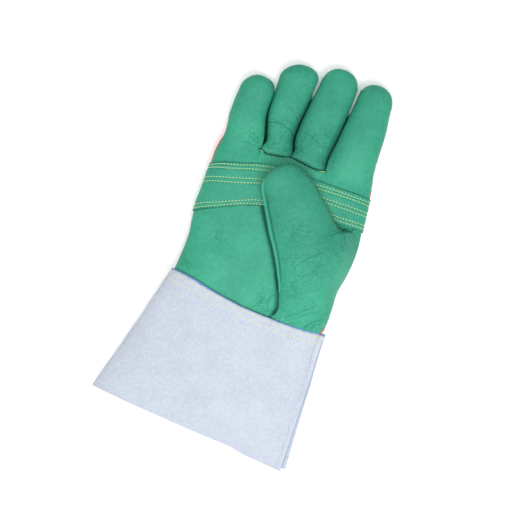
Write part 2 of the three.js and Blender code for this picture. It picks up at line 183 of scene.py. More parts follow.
def creased(x, y, creases):
    """The depth of the creases at each point: each one's depth times exp(-(distance / reach)²), and shallower
    towards both ends."""
    total = np.zeros(x.shape)
    for path, deep, reach in creases:
        fine = fine_path(path, 4 * len(path)) if len(path) > 2 else path
        away, where = path_distance(x, y, fine)
        fade = 0.25 + 0.75 * np.sin(np.pi * np.clip(where, 0, 1)).clip(0) ** 0.6
        total += deep * np.exp(-((away / reach) ** 2)) * fade
    return total


def wrinkled(x, y, creases, reach=7.0, base=0.12):
    """How wrinkled the leather is: most along the creases, fading out over reach, in patches."""
    away = np.min([path_distance(x, y, path)[0] for path, _, _ in creases], axis=0)
    patchy = 0.65 + 0.35 * unevenness(x, y, 9, 51)
    return np.clip(base + (1 - base) * np.exp(-((away / reach) ** 2)) * patchy, 0, 1)


def dented(x, y):
    """The depth of the soft hollows: each one's depth times exp(-(dx / across)² - (dy / along)²)."""
    return sum(
        deep * np.exp(-(((x - at_x) / across) ** 2) - ((y - at_y) / along) ** 2)
        for at_x, at_y, across, along, deep in DENTS
    )


def unevenness(x, y, size, seed):
    """Soft random hills from -1 to 1 on a lattice of that size: lattice heights joined by 3t² - 2t³ both ways."""
    heights = np.random.default_rng(seed).uniform(-1, 1, (97, 97))
    u, v = x / size + 48, y / size + 48
    i, j = np.floor(u).astype(int) % 96, np.floor(v).astype(int) % 96
    s, t = ease(0, 1, u - np.floor(u)), ease(0, 1, v - np.floor(v))
    low = heights[i, j] * (1 - s) + heights[i + 1, j] * s
    high = heights[i, j + 1] * (1 - s) + heights[i + 1, j + 1] * s
    return low * (1 - t) + high * t


def smooth_max(a, b, width):
    """The larger of the two, rounded over where they are within a few widths of each other."""
    return np.maximum(a, b) + width * np.log1p(np.exp(-np.abs(a - b) / width))


def hand_at(y, *names):
    """The hand's measures of those names at y."""
    return [smooth(HAND["along"], HAND[name], y) for name in names]


def hand_section(p, y, grow=0.0):
    """x and z all round the hand at y, where x follows sin(90° p). p runs from -1 at the left edge to 1 at the
    right one over a superellipse arch, and on to 3 under the hand and back to the left, flattened by the table."""
    left, right, top, edge = hand_at(y, "left", "right", "top", "edge")
    s = np.sin(np.pi / 2 * p)
    arch = bulge(s, PALM_SQUARE)
    over = edge + (top - edge + grow) * arch
    under = smooth_max(edge - (edge + 2 + grow) * arch, BACK_HEIGHT - grow, 0.3)
    z = np.where(np.abs((p + 2) % 4 - 2) > 1, under, over)
    return (left + right) / 2 + ((right - left) / 2 + grow) * s, z


def hand_place(x, y):
    """The p of hand_section at a given x."""
    left, right = hand_at(y, "left", "right")
    return np.arcsin(np.clip((2 * x - left - right) / (right - left), -1, 1)) * 2 / np.pi


def finger_section(finger, p, along, grow=0.0):
    """x, y and z all round a finger: like hand_section up to where its tip starts. From there on the section
    shrinks by a superellipse round the tip's centre."""
    tip = finger["tip"]
    round_ = np.clip((along - tip["from"]) / (tip["to"] - tip["from"]), 0, 1)
    full = bulge(round_, 2.3, 2.3)
    y = np.minimum(along, tip["to"])
    base = np.minimum(along, tip["from"])
    left, right, top = (smooth(finger["along"], finger[name], base) for name in ("left", "right", "top"))
    s = np.sin(np.pi / 2 * p)
    middle = (left + right) / 2
    middle = middle + (tip["centre"] - middle) * ease(0, 1, round_)
    x = middle + ((right - left) / 2 * full + grow) * s
    arch = bulge(s, FINGER_SQUARE, 2.2)
    over = FINGER_EDGE + ((top - FINGER_EDGE) * full**0.8 + grow) * arch
    hanging = FINGER_EDGE - ((FINGER_EDGE + 2) * full**0.8 + grow) * arch
    under = smooth_max(hanging, BACK_HEIGHT - grow, 0.3)
    return x, y, np.where(np.abs((p + 2) % 4 - 2) > 1, under, over)


def seam_stop(side, y, top, edge, square):
    """The p at which the section has the side seam's height, above the widest line or below it."""
    seam = np.interp(y, SIDE_SEAM["along"], SIDE_SEAM[side])
    above = np.clip((seam - edge) / (top - edge), 0, 0.9)
    below = np.clip((edge - seam) / (edge + 2), 0, 0.9)
    p = np.arcsin((1 - np.maximum(above, below) ** 2) ** (1 / square)) * 2 / np.pi
    return np.where(below > 0, 2 - p, p)


def gusset_edge(finger, y):
    """How far out p goes on the side that faces a neighbouring finger: to the gusset, and past its end to 1."""
    tip = finger["tip"]["to"]
    return GUSSET_START + (1 - GUSSET_START) * ease(tip - 22, tip - 8, y)


def grid_quads(rows, columns):
    """The corner numbers of a grid's quads, as an array of (row, column, corner)."""
    index = np.arange(rows * columns).reshape(rows, columns)
    return np.stack([index[:-1, :-1], index[:-1, 1:], index[1:, 1:], index[1:, :-1]], axis=-1)


def linked(name, points, faces, material):
    """An object in the scene with a smooth-shaded mesh. Its points are in millimetres."""
    mesh = bpy.data.meshes.new(name)
    mesh.from_pydata((points * 0.001).tolist(), [], faces)
    mesh.polygons.foreach_set("use_smooth", np.ones(len(mesh.polygons), bool))
    mesh.materials.append(material)
    piece = bpy.data.objects.new(name, mesh)
    bpy.context.scene.collection.objects.link(piece)
    return piece


def surface(name, points, keep, thick, material, marks=None):
    """The grid's quads, with the wall added on the inside. points is rows × columns × xyz, keep says which quads
    stay, and marks holds the material's attributes, a value per point each."""
    quads = grid_quads(*points.shape[:2])
    quads = quads[keep] if keep is not None else quads.reshape(-1, 4)
    used, quads = np.unique(quads, return_inverse=True)
    piece = linked(name, points.reshape(-1, 3)[used], quads.reshape(-1, 4).tolist(), material)
    for attribute, values in (marks or {}).items():
        layer = piece.data.attributes.new(attribute, "FLOAT", "POINT").data
        layer.foreach_set("value", (values + 0 * points[..., 0]).reshape(-1)[used].astype(np.float32))
    if thick:
        wall = piece.modifiers.new("wall", "SOLIDIFY")
        wall.thickness, wall.offset, wall.use_even_offset = thick * 0.001, -1, False
    return piece


def outward(points):
    """The unit normal of the grid at each point, from the cross product of its two directions."""
    normal = np.cross(np.gradient(points, axis=1), np.gradient(points, axis=0))
    return normal / np.maximum(np.linalg.norm(normal, axis=-1, keepdims=True), 1e-9)


def blank_material(name):
    """A material with its node tree, its shader and the object coordinates that its textures use."""
    material = bpy.data.materials.new(name)
    material.use_nodes = True
    tree = material.node_tree
    place = tree.nodes.new("ShaderNodeTexCoord").outputs["Object"]
    return material, tree, tree.nodes["Principled BSDF"], place


def node(tree, kind, inputs, **settings):
    """A new node. inputs maps each socket to a value, or to the output that is joined to it."""
    made = tree.nodes.new("ShaderNode" + kind)
    for name, value in settings.items():
        setattr(made, name, value)
    for socket, value in inputs.items():
        if isinstance(value, bpy.types.NodeSocket):
            tree.links.new(value, made.inputs[socket])
        else:
            made.inputs[socket].default_value = value
    return made


def noise(tree, place, scale, detail, rough=0.5):
    """The output of a noise texture."""
    inputs = {"Vector": place, "Scale": scale, "Detail": detail, "Roughness": rough}
    return node(tree, "TexNoise", inputs).outputs["Fac"]


def math_node(tree, operation, *values):
    """The result of a sum, a product or a product with a sum."""
    return node(tree, "Math", dict(enumerate(values)), operation=operation).outputs["Value"]


def two_tones(tree, factor, low, dark, high, colour):
    """A colour that goes from dark at low to colour at high."""
    ramp = node(tree, "ValToRGB", {"Fac": factor})
    ends = ramp.color_ramp.elements
    ends[0].position, ends[1].position = low, high
    ends[0].color, ends[1].color = (*dark, 1), (*colour, 1)
    return ramp.outputs["Color"]


def marked(tree, attribute, plain, colour):
    """The plain colour, turning to the other one where the attribute goes from 0 to 1."""
    factor = node(tree, "Attribute", {}, attribute_name=attribute).outputs["Fac"]
    inputs = {"Factor": factor, "A": plain, "B": (*colour, 1)}
    return node(tree, "Mix", inputs, data_type="RGBA").outputs["Result"]


def relief(tree, height, strength, distance, **below):
    """The normal of a bump. below may hold the Normal that it stands on."""
    inputs = {"Height": height, "Strength": strength, "Distance": distance, **below}
    return node(tree, "Bump", inputs).outputs["Normal"]


def finished(material, shader, colour, normal, numbers):
    """The material, with its colour, its normal and its plain numbers set on the shader."""
    material.node_tree.links.new(normal, shader.inputs["Normal"])
    if isinstance(colour, bpy.types.NodeSocket):
        material.node_tree.links.new(colour, shader.inputs["Base Color"])
    else:
        shader.inputs["Base Color"].default_value = (*colour, 1)
    for name, value in numbers.items():
        shader.inputs[name].default_value = value
    return material


def leather(name, colour, dark, rough):
    """Aniline-dyed grain leather: a base colour that drifts between two tones, with painted shade mixed in from a
    point attribute, over a bump of fine pebbled grain. Where the attribute wrinkled is above 0, warped cells about
    3 mm wide and twice as long add fine slanting wrinkles."""
    material, tree, shader, place = blank_material(name)
    drift, fine, pebble = noise(tree, place, 28, 4), noise(tree, place, 900, 3), noise(tree, place, 320, 6)
    cells = node(tree, "TexVoronoi", {"Vector": place, "Scale": 1300}).outputs["Distance"]
    mottle = node(tree, "Mix", {"Factor": 0.38, "A": drift, "B": pebble}).outputs["Result"]
    tone = two_tones(tree, mottle, 0.37, dark, 0.63, colour)
    # Painted shade: a deep green mixed in by a point attribute, standing in for shade in creases, seams and gaps.
    shade = marked(tree, "painted_shade", tone, (dark[0] * 0.25, dark[1] * 0.36, dark[2] * 0.38))
    grain = math_node(tree, "ADD", math_node(tree, "MULTIPLY_ADD", cells, 0.35, fine), pebble)
    skin = relief(tree, grain, 0.55, 0.0003)
    warp = node(tree, "TexNoise", {"Vector": place, "Scale": 90, "Detail": 3}).outputs["Color"]
    shifted = node(tree, "VectorMath", {0: warp, 1: (0.016, 0.016, 0.016), 2: place}, operation="MULTIPLY_ADD")
    slant = {"Vector": shifted.outputs["Vector"], "Rotation": (0, 0, math.radians(52)), "Scale": (2.2, 1, 1)}
    drawn = node(tree, "Mapping", slant, vector_type="TEXTURE").outputs["Vector"]
    veins = node(tree, "TexVoronoi", {"Vector": drawn, "Scale": 310}, feature="DISTANCE_TO_EDGE")
    limits = {"Value": veins.outputs["Distance"], "From Max": 0.16}
    valley = node(tree, "MapRange", limits, interpolation_type="SMOOTHSTEP").outputs["Result"]
    wrinkles = node(tree, "Attribute", {}, attribute_name="wrinkled").outputs["Fac"]
    furrows = relief(tree, math_node(tree, "MULTIPLY", valley, wrinkles), 0.75, 0.0005, Normal=skin)
    return finished(material, shader, shade, furrows, {"Roughness": rough, "Specular IOR Level": 0.22})


green_leather = leather("green grain leather", (0.049, 0.38, 0.238), (0.03, 0.283, 0.181), 0.5)


def palm_and_fingers():
    """The panel as one grid. Its columns are the little finger's, the middle ones and the index finger's. Rows run
    from the wrist to the middle seam over the hand's arch, and on over each finger's own arch. The two arches are
    mixed over a stretch, so that the fingers grow out of the palm without a step."""
    columns, palm_rows, finger_rows = (58, 84, 64), 150, 104
    v = np.concatenate([np.linspace(0, 1, palm_rows, endpoint=False), np.linspace(1, 2, finger_rows)])
    (left_x, left_y), (right_x, right_y) = MIDDLE_SEAM[0], MIDDLE_SEAM[-1]
    low, high = np.clip(v, 0, 1)[:, None], np.clip(v - 1, 0, 1)[:, None]
    blocks = []
    spans = ((LITTLE, -1, "little"), (None, 0, None), (INDEX, 1, "index"))
    for (finger, side, seam), count in zip(spans, columns):
        shared = int(side >= 0)
        u = np.linspace(0, 1, count + shared)[None, shared:]
        reach = finger["tip"]["to"] if finger else FINGER_ROOTS
        middle_y = line_at(MIDDLE_SEAM, left_x + (right_x - left_x) * u)
        seam_y = {-1: left_y, 0: middle_y, 1: right_y}[side]
        y = WRIST_END + (seam_y - WRIST_END) * low + 0 * u
        y = y + (reach - seam_y) * np.sin(high * np.pi / 2) ** 1.15 * (side != 0)
        top, edge = hand_at(y, "top", "edge")
        stop = seam_stop(seam, y, top, edge, PALM_SQUARE) if side else 1
        from_, to = {
            -1: (-stop, hand_place(left_x, y)),
            0: (hand_place(left_x, y), hand_place(right_x, y)),
            1: (hand_place(right_x, y), stop),
        }[side]
        x, z = hand_section(from_ + (to - from_) * u, y)
        if side:
            f_top = smooth(finger["along"], finger["top"], np.minimum(y, finger["tip"]["from"]))
            outer = seam_stop(seam, y, f_top, FINGER_EDGE, FINGER_SQUARE)
            inner = gusset_edge(finger, y)
            first, last = (-outer, inner) if side < 0 else (-inner, outer)
            fx, _, fz = finger_section(finger, first + (last - first) * u, y)
            mix = ease(*ARCHES_MIX, y)
            x, z = x + (fx - x) * mix, z + (fz - z) * mix
        blocks.append(np.stack([x, y + 0 * x, z], axis=-1))
    points = np.concatenate(blocks, axis=1)
    x, y, _ = np.moveaxis(points, -1, 0)
    seam_away, _ = path_distance(x, y, MIDDLE_SEAM)
    thumb_away, _ = path_distance(x, y, THUMB_SEAM)
    line_away, _ = path_distance(x, y, THUMB_LINE)
    groove = 1.8 * np.exp(-((seam_away / 1.7) ** 2)) + 2.0 * np.exp(-((thumb_away / 1.8) ** 2))
    groove = groove + 1.2 * np.exp(-((line_away / 1.8) ** 2))
    folds = creased(x, y, PALM_CREASES)
    flat = ease(0.2, 0.7, np.abs(outward(points)[..., 2]))
    drop = (groove + dented(x, y) + folds) * flat
    drop = drop - 0.35 * unevenness(x, y, 17, 3) * flat - 0.12 * unevenness(x, y, 5, 8)
    under_wing = ease(38, 48, x) * ease(47.5, 43.5, y)
    drop = drop + 1.3 * under_wing
    points = points - outward(points) * drop[..., None]
    keep = np.ones((len(v) - 1, points.shape[1] - 1), bool)
    keep[palm_rows:, columns[0] - 1 : columns[0] + columns[1]] = False
    cx, cy, _ = np.moveaxis((points[1:, 1:] + points[:-1, :-1]) / 2, -1, 0)
    seam_x = np.interp(cy, *np.array(PALM_EDGE).T)
    keep &= (cx < seam_x) | (cy > UNDER_THE_WING)
    # Painted shade: darker along the middle seam, along the thumb's left edge where the thumb shades the palm, in
    # the creases, and towards the fingers.
    dark = 0.8 * np.exp(-((seam_away / 1.1) ** 2)) + np.exp(-((line_away / 3) ** 2))
    dark = np.clip(folds * 0.7 + dark + 0.2 * ease(80, 120, y), 0, 0.92)
    return points, keep, {"painted_shade": dark, "wrinkled": wrinkled(x, y, PALM_CREASES)}


palm_points, keep, marks = palm_and_fingers()
palm_panel = surface("palm_panel_leather", palm_points, keep, GRAIN_THICK, green_leather, marks)
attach(palm_panel, "root")
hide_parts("palm_panel")

# Front of the two middle fingers
# A second piece of the same leather, sewn to the palm's edge at their roots and puffed above it. The seam
# gathers it, so short puckers fan out from the ends of the seam and creases run across the ring finger.
MIDDLE_CREASES = [
    ([(-36.5, 103), (-30, 106.5), (-22, 107), (-14, 104.5), (-10.5, 101.5)], 0.65, 0.45),
    ([(-36, 100.5), (-30, 103.5), (-24, 104.2)], 0.3, 0.45),
    ([(-20, 100), (-19.5, 95), (-20.5, 89)], 0.18, 0.6),
    ([(-12, 120), (-15, 124), (-19, 130)], 0.3, 0.5),
    ([(-11, 115), (-16, 119), (-20, 122)], 0.28, 0.5),
    ([(-11.5, 110), (-16, 112), (-21, 112)], 0.25, 0.5),
    ([(-11, 97), (-13.5, 93), (-13.5, 88)], 0.4, 0.5),
    ([(-9, 90), (-12, 87.5), (-15, 86.5)], 0.5, 0.5),
    ([(-26, 86), (-24, 90), (-24.5, 94)], 0.2, 0.6),
    ([(24, 110), (18, 112), (12, 112.5)], 0.22, 0.5),
    ([(23.5, 104), (17, 103), (10, 104), (3, 107), (-5, 109)], 0.4, 0.45),
    ([(19, 101.5), (12, 101.5), (4, 103.5)], 0.22, 0.45),
    ([(20, 86), (17, 90), (16, 94)], 0.28, 0.55),
    ([(22.5, 87), (20.5, 91), (20.5, 95)], 0.3, 0.5),
    ([(-4, 88), (-1, 91), (1, 95)], 0.35, 0.55),
    ([(-6, 92), (-3, 95), (-2, 99)], 0.25, 0.5),
]


def middle_finger_front(finger, left_x, right_x):
    """One finger's front as a grid. It starts on the hand's arch at the seam, 2 mm down in the groove, and within
    16 mm it has become the finger's own arch."""
    v = np.linspace(0, 1, 190)[:, None]
    across = np.linspace(-1, 1, 72)[None, :]
    x0 = left_x + (right_x - left_x) * (np.sin(np.pi / 2 * GUSSET_START * across) + 1) / 2
    start = line_at(MIDDLE_SEAM, x0)
    y = start + 0.3 + (finger["tip"]["to"] - start - 0.3) * np.sin(v * np.pi / 2) ** 1.15
    p = across * gusset_edge(finger, y)
    fx, _, fz = finger_section(finger, p, y)
    _, hz = hand_section(hand_place(x0, start), start)
    mix = ease(-4, 15, y - start)
    points = np.stack([x0 + (fx - x0) * mix, y, hz + (fz - hz) * ease(-1, 9, y - start)], axis=-1)
    x, y, _ = np.moveaxis(points, -1, 0)
    folds = creased(x, y, MIDDLE_CREASES)
    seam_away = y - start
    roll = 2.6 * np.exp(-((seam_away / 1.1) ** 1.4)) - 0.7 * np.exp(-(((seam_away - 4.5) / 3) ** 2))
    drop = roll + folds - 0.25 * unevenness(x, y, 13, 5) - 0.1 * unevenness(x, y, 4, 6)
    flat = ease(0.15, 0.6, np.abs(outward(points)[..., 2]))
    points = points - outward(points) * (drop * flat)[..., None]
    # Painted shade: darker towards the gaps beside the finger, in the groove of the seam, in the creases, and a
    # little all over.
    gap = 0.65 * ease(0.4, 0.95, across) + 0.2 * ease(-0.6, -0.95, across)
    dark = folds * 0.9 + 0.8 * np.exp(-((seam_away / 1.0) ** 2)) + gap * ease(150, 125, y) + 0.15
    dark = np.clip(dark, 0, 0.85)
    return points, {"painted_shade": dark, "wrinkled": wrinkled(x, y, MIDDLE_CREASES, 5.0)}


MIDDLE_FRONTS = (("ring_front", RING, -32.2, -5.6), ("middle_front", MIDDLE, -5.9, 24.8))
for name, finger, left_x, right_x in MIDDLE_FRONTS:
    points, marks = middle_finger_front(finger, left_x, right_x)
    front = surface(name, points, None, GRAIN_THICK, green_leather, marks)
    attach(front, "root")
    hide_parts("middle_fingers_front")

# Finger gussets
# A narrow strip closes each pair of neighbouring fingers: down one finger's side, round the crotch and up the
# other's. Its leather is the same green painted a shade darker, as painted shade for the shadow of the gap.
GUSSET_THICK = 1.2
# The green leather painted darker: painted shade, not a leather of its own.
leather_in_painted_shade = leather("green leather in painted shade", (0.03, 0.2, 0.14), (0.02, 0.15, 0.11), 0.6)


def gusset_strip(one, other, crotch, closed):
    """Rows follow the U: t runs from -1 at the end of the first finger to 1 at the end of the other. y rises as
    (t² + 0.03²)^½ from the crotch, and the strip gets narrower towards both ends. Its lower edge folds in to
    the middle of the gap, as a V, as far up as closed."""
    t = np.linspace(-1, 1, 161)[:, None]
    end = min(one["tip"]["to"], other["tip"]["to"]) - 7
    y = crotch + (end - crotch) * (np.sqrt(t**2 + 0.03**2) - 0.03)
    swing = ease(-0.05, 0.05, t)
    sides = [
        smooth(one["along"], one["right"], np.minimum(y, one["tip"]["from"])) - 0.3,
        smooth(other["along"], other["left"], np.minimum(y, other["tip"]["from"])) + 0.3,
    ]
    x = sides[0] * (1 - swing) + sides[1] * swing
    half = 3.6 - 2.2 * ease(100, end, y)
    rise = np.linspace(-1, 1, 16)[None, :]
    fold = ((1 - rise) / 2) ** 1.5 * (1 - ease(closed - 5, closed + 3, y))
    x = x * (1 - fold) + (sides[0] + sides[1]) / 2 * fold
    return np.stack([x, y + 0 * rise, 10.8 + (half + 1.5 * fold) * rise], axis=-1)


for name, one, other, crotch, closed in (
    ("gusset_little_ring", LITTLE, RING, 82.5, 133),
    ("gusset_ring_middle", RING, MIDDLE, 84.0, 141),
    ("gusset_middle_index", MIDDLE, INDEX, 84.5, 139),
):
    strip = gusset_strip(one, other, crotch, closed)
    gusset = surface(name + "_leather", strip, None, GUSSET_THICK, leather_in_painted_shade)
    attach(gusset, "root")
    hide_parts(name)

# Back
# Red twill covers the back of the hand and of the fingers up to their caps. It only shows from the palm side
# where the side seam rolls up over the edge, and it lies almost flat on the table underneath.
CAP_LENGTH = 42
BACKS_START = 79
BACK_THICK = 1.4


def woven(name, colour, dark):
    """Twill: slanting ribs from a wave texture, in two tones, over a slow fading of the dye."""
    material, tree, shader, place = blank_material(name)
    inputs = {"Vector": place, "Scale": 420, "Distortion": 0.6}
    ribs = node(tree, "TexWave", inputs, bands_direction="DIAGONAL").outputs["Fac"]
    fade = math_node(tree, "MULTIPLY", noise(tree, place, 45, 5), 0.6)
    both = math_node(tree, "MULTIPLY_ADD", ribs, 0.4, fade)
    tone = two_tones(tree, both, 0.25, dark, 0.7, colour)
    weave = relief(tree, both, 0.43, 0.0003)
    return finished(material, shader, tone, weave, {"Roughness": 0.85, "Specular IOR Level": 0.2})


def hand_back():
    """The back of the hand: rows along y, columns from the right side seam under the hand to the left one. It
    stands up to 0.7 mm proud of the palm panel where it rolls over the edge."""
    y = np.linspace(WRIST_END, FINGER_ROOTS, 100)[:, None]
    top, edge = hand_at(y, "top", "edge")
    right, left = (seam_stop(side, y, top, edge, PALM_SQUARE) for side in ("index", "little"))
    p = right + (4 - left - right) * np.linspace(0, 1, 90)[None, :]
    rolled = np.maximum((1 - right) * (p < 2), (1 - left) * (p > 2)) * ease(0.8, 1.1, np.abs(p - 2))
    x, z = hand_section(p, y, np.clip(5 * rolled, 0, 0.7))
    z = z + 0.25 * unevenness(x, y, 14, 31) * ease(3, 6, z)
    return np.stack([x, y + 0 * x, z], axis=-1)


def finger_back_grid(finger, side, from_, to):
    """A finger's back between two distances. side is the hand's outer edge that it lies on, or None."""
    y = from_ + (to - from_) * np.sin(np.linspace(0, 1, 54)[:, None] * np.pi / 2) ** 1.1
    top = smooth(finger["along"], finger["top"], np.minimum(y, finger["tip"]["from"]))
    inner = 2 - gusset_edge(finger, y)
    outer = seam_stop(side, y, top, FINGER_EDGE, FINGER_SQUARE) if side else inner
    right = outer if side == "index" else inner
    left = outer if side == "little" else inner
    p = right + (4 - left - right) * np.linspace(0, 1, 54)[None, :]
    x, y, z = finger_section(finger, p, y)
    return np.stack([x, y + 0 * x, z], axis=-1)


red_twill = woven("red twill", (0.66, 0.085, 0.06), (0.5, 0.05, 0.035))
back = surface("back_of_hand", hand_back(), None, BACK_THICK, red_twill)
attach(back, "root")
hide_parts("back_panel")
FINGERS = (
    ("little", LITTLE, "little"),
    ("ring", RING, None),
    ("middle", MIDDLE, None),
    ("index", INDEX, "index"),
)
for name, finger, side in FINGERS:
    grid = finger_back_grid(finger, side, BACKS_START, finger["tip"]["to"] - CAP_LENGTH)
    back = surface("back_of_" + name, grid, None, BACK_THICK, red_twill)
    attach(back, "root")
    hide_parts("back_panel")

# Fingertip caps
# Grain leather covers the back of each fingertip, from 42 mm short of the tip, and is sewn to the finger's
# front all round the tip.
for name, finger, side in FINGERS:
    grid = finger_back_grid(finger, side, finger["tip"]["to"] - CAP_LENGTH, finger["tip"]["to"])
    cap = surface("cap_" + name, grid, None, GRAIN_THICK, green_leather)
    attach(cap, "root")
    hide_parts("fingertip_" + name)

# Palm patch and knuckle strap
# A second layer of the same leather crosses the palm and goes on round the back as a strap. Its edges are cut
# raw, and three pairs of stitch rows press shallow channels into it.
PATCH_THICK = 1.4
PATCH_LIFT = 1.45
EDGE_SHARPNESS = 58
PATCH_TOP = [
    (-84, 49.5), (-66, 54.5), (-62, 56.4), (-52, 60.2), (-42, 63.3), (-32, 67.2),
    (-22, 70.8), (-14, 72.8), (4, 73.8), (38, 73.8), (58, 75.2), (72, 75.6),
    (90, 75.4),
]
PATCH_FOOT = [
    (-84, 2), (-67, 10.2), (-62, 13), (-52, 18), (-42, 23), (-32, 28.2),
    (-22, 32.6), (-8, 37.4), (24, 43.4), (56, 46), (90, 48.4),
]
LEFT_ROWS = [
    [(-68.6, 51.2), (-62.2, 54.5), (-52.2, 58), (-42.2, 61), (-32.2, 65), (-22.2, 67.8), (-12, 70)],
    [(-68.8, 48.7), (-62.2, 51.5), (-52.2, 54.5), (-42.2, 58), (-32.2, 61.5), (-22.2, 64.5), (-13, 67)],
    [(-68.5, 40.6), (-62.2, 43), (-52.2, 46.3), (-42.2, 49.5), (-32.2, 53), (-22.2, 56.5), (-14, 59)],
    [(-68.4, 36.4), (-62.2, 39), (-52.2, 42.5), (-42.2, 45.5), (-32.2, 49), (-22.2, 53), (-14, 56)],
    [(-68, 15.4), (-62.2, 19), (-52.2, 23.5), (-42.2, 28.5), (-32.2, 33.5), (-22.2, 38), (-10, 41.5)],
    [(-67.8, 12.2), (-62.2, 15.5), (-52.2, 20.5), (-42.2, 25.5), (-32.2, 30.5), (-22.2, 34.5), (-8, 39)],
]
RIGHT_ROWS = [
    [(12, 69), (19.8, 69.5), (37.8, 71), (57.8, 72.2), (72.4, 73)],
    [(14, 66.2), (23.8, 67), (42.8, 68.5), (62.8, 69.8), (73, 70)],
    [(24, 61), (30.8, 61.5), (47.8, 62.5), (57.8, 63.1), (74, 63.9)],
    [(26, 57.8), (33.8, 58.3), (52.8, 59.5), (74.6, 60.6)],
    [(36, 50.8), (43.8, 51), (52.8, 51.3), (62.8, 52.3), (75.8, 53.3)],
    [(40, 48.6), (46.2, 48.5), (52.8, 48.3), (62.8, 49.3), (76.2, 50.4)],
]


def channels(x, y):
    """The depth of the channels along the stitch rows, 0.4 mm at most."""
    paths = [fine_path(left + right, 14) for left, right in zip(LEFT_ROWS, RIGHT_ROWS)]
    return sum(0.4 * np.exp(-(path_distance(x, y, path)[0] ** 2)) for path in paths)


def band(turned):
    """The band between its top and foot curves, raised from the hand: the palm side, or the back if turned. The
    two meet on the hand's widest line."""
    rows, columns = (60, 120) if turned else (110, 190)
    v = np.linspace(0, 1, rows)[:, None]
    u = np.linspace(0, 1, columns)[None, :]
    y = np.full((rows, columns), 45.0)
    for _ in range(3):
        x, z = hand_section(1 + 2 * u if turned else 2 * u - 1, y, PATCH_LIFT)
        foot, head = line_at(PATCH_FOOT, x), line_at(PATCH_TOP, x)
        y = foot + (head - foot) * v
    points = np.stack([x, y, z], axis=-1)
    flat = ease(0.2, 0.7, np.abs(outward(points)[..., 2]))
    pressed = channels(x, y)
    drop = pressed - 0.1 * unevenness(x, y, 4, 41)
    if turned:
        drop = drop * ease(1, 4, z)
    else:
        drop = drop + (dented(x, y) - 0.35 * unevenness(x, y, 17, 3)) * flat
    # A darker line along the cut edges, with noise for fraying, and painted shade in the stitch channels and a
    # little all over.
    rim = np.minimum(v, 1 - v) * EDGE_SHARPNESS
    edge_dark = np.exp(-((rim / (0.75 + 0.45 * unevenness(x, y, 1.6, 71))) ** 2))
    dark = np.clip(edge_dark * 0.85 + 0.3 * pressed + 0.07, 0, 0.85)
    return points - outward(points) * drop[..., None], {"painted_shade": dark, "wrinkled": 0.15 + 0 * x}


patch_points, marks = band(False)
patch = surface("palm_patch_leather", patch_points, None, PATCH_THICK, green_leather, marks)
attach(patch, "root")
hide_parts("palm_patch")
strap_points, marks = band(True)
strap = surface("knuckle_strap_leather", strap_points, None, PATCH_THICK, green_leather, marks)
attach(strap, "root")
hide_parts("knuckle_strap")

# Cuff
# One sheet of split cowhide with a nap on both sides, folded on the little finger's side and sewn on the
# thumb's, where the back layer's raw edge sticks out past the front one's. Two stitch rows hold it to the hand.
CUFF = {
    "along": [-178, -130, -90, -62, -48, -38],
    "left": [-94.9, -84.3, -75.4, -69.4, -66.4, -64.2],
    "right": [87.4, 84.3, 81.6, 79.1, 78.8, 78.2],
    "top": [19.4, 21.2, 23, 24.6, 25.2, 25.4],
    "edge": [4, 5.2, 8, 10.4, 11, 11],
    "square": [2.8, 2.9, 3.6, 4.6, 5, 5],
    "sewn_square": [2, 2, 2.2, 3.6, 5, 5],
    "sewn_round": [1.0, 1.0, 1.1, 1.7, 1.9, 1.9],
    "lower": [91.6, 86.9, 83.3, 80.3, 79.2, 78.6],
}
CUFF_TOP = [
    (-80, -42), (-62, -42.6), (-47, -43.9), (-32, -46.4), (-12, -48.9), (8, -50.4),
    (38, -50.5), (58, -49.6), (68, -48.5), (80, -47.2),
]
CUFF_FOOT = [
    (-110, -160.5), (-91, -161.5), (-62, -162.6), (-22, -164), (18, -165.4), (48, -166.4),
    (58, -168.2), (73, -169.4), (85, -170.4), (96, -170.6),
]
SPLIT_THICK = 1.5
SEAM_ALLOWANCE = 4.5
FRONT_COLUMNS = 140
EDGE_COLUMNS = 24


def cuff_at(y):
    """The cuff's measures at y, with the place of its right seam."""
    at = {name: smooth(CUFF["along"], CUFF[name], y) for name in CUFF if name != "along"}
    at["seam"] = at["right"] - SEAM_ALLOWANCE
    return at


def cuff_sheet():
    """The folded sheet as one grid. Its columns run from the front layer's cut edge over the arch to the fold and
    back along the flat underside to the back layer's cut edge. Its rows run from the top edge to the foot."""
    v = np.linspace(0, 1, 135)[:, None]
    front = np.linspace(1, -1, FRONT_COLUMNS)[None, :]
    back = np.linspace(-1, 1, 90)[None, 1:]
    s = np.concatenate([np.sin(np.pi / 2 * front), np.sin(np.pi / 2 * back)], axis=1)
    under = np.concatenate([np.zeros(front.shape), np.ones(back.shape)], axis=1)
    x_guess = 5 + 82 * s
    foot = line_at(CUFF_FOOT, x_guess) + under * ease(60, 84, x_guess) * 2.8
    y = line_at(CUFF_TOP, x_guess) * (1 - v) + foot * v
    at = cuff_at(y)
    x = (at["left"] + at["seam"]) / 2 + (at["seam"] - at["left"]) / 2 * s
    rise = np.where(s > 0, bulge(s, at["sewn_square"], at["sewn_round"]), bulge(s, at["square"], 1.9))
    arch = at["edge"] + (at["top"] - at["edge"]) * rise
    sunk = at["edge"] - 2.9 * ease(0.7, 0.93, s)
    below = np.maximum(sunk - (sunk + 3) * bulge(s, at["square"], 1.9), 0)
    z = arch * (1 - under) + below * under
    return x, y, z, at


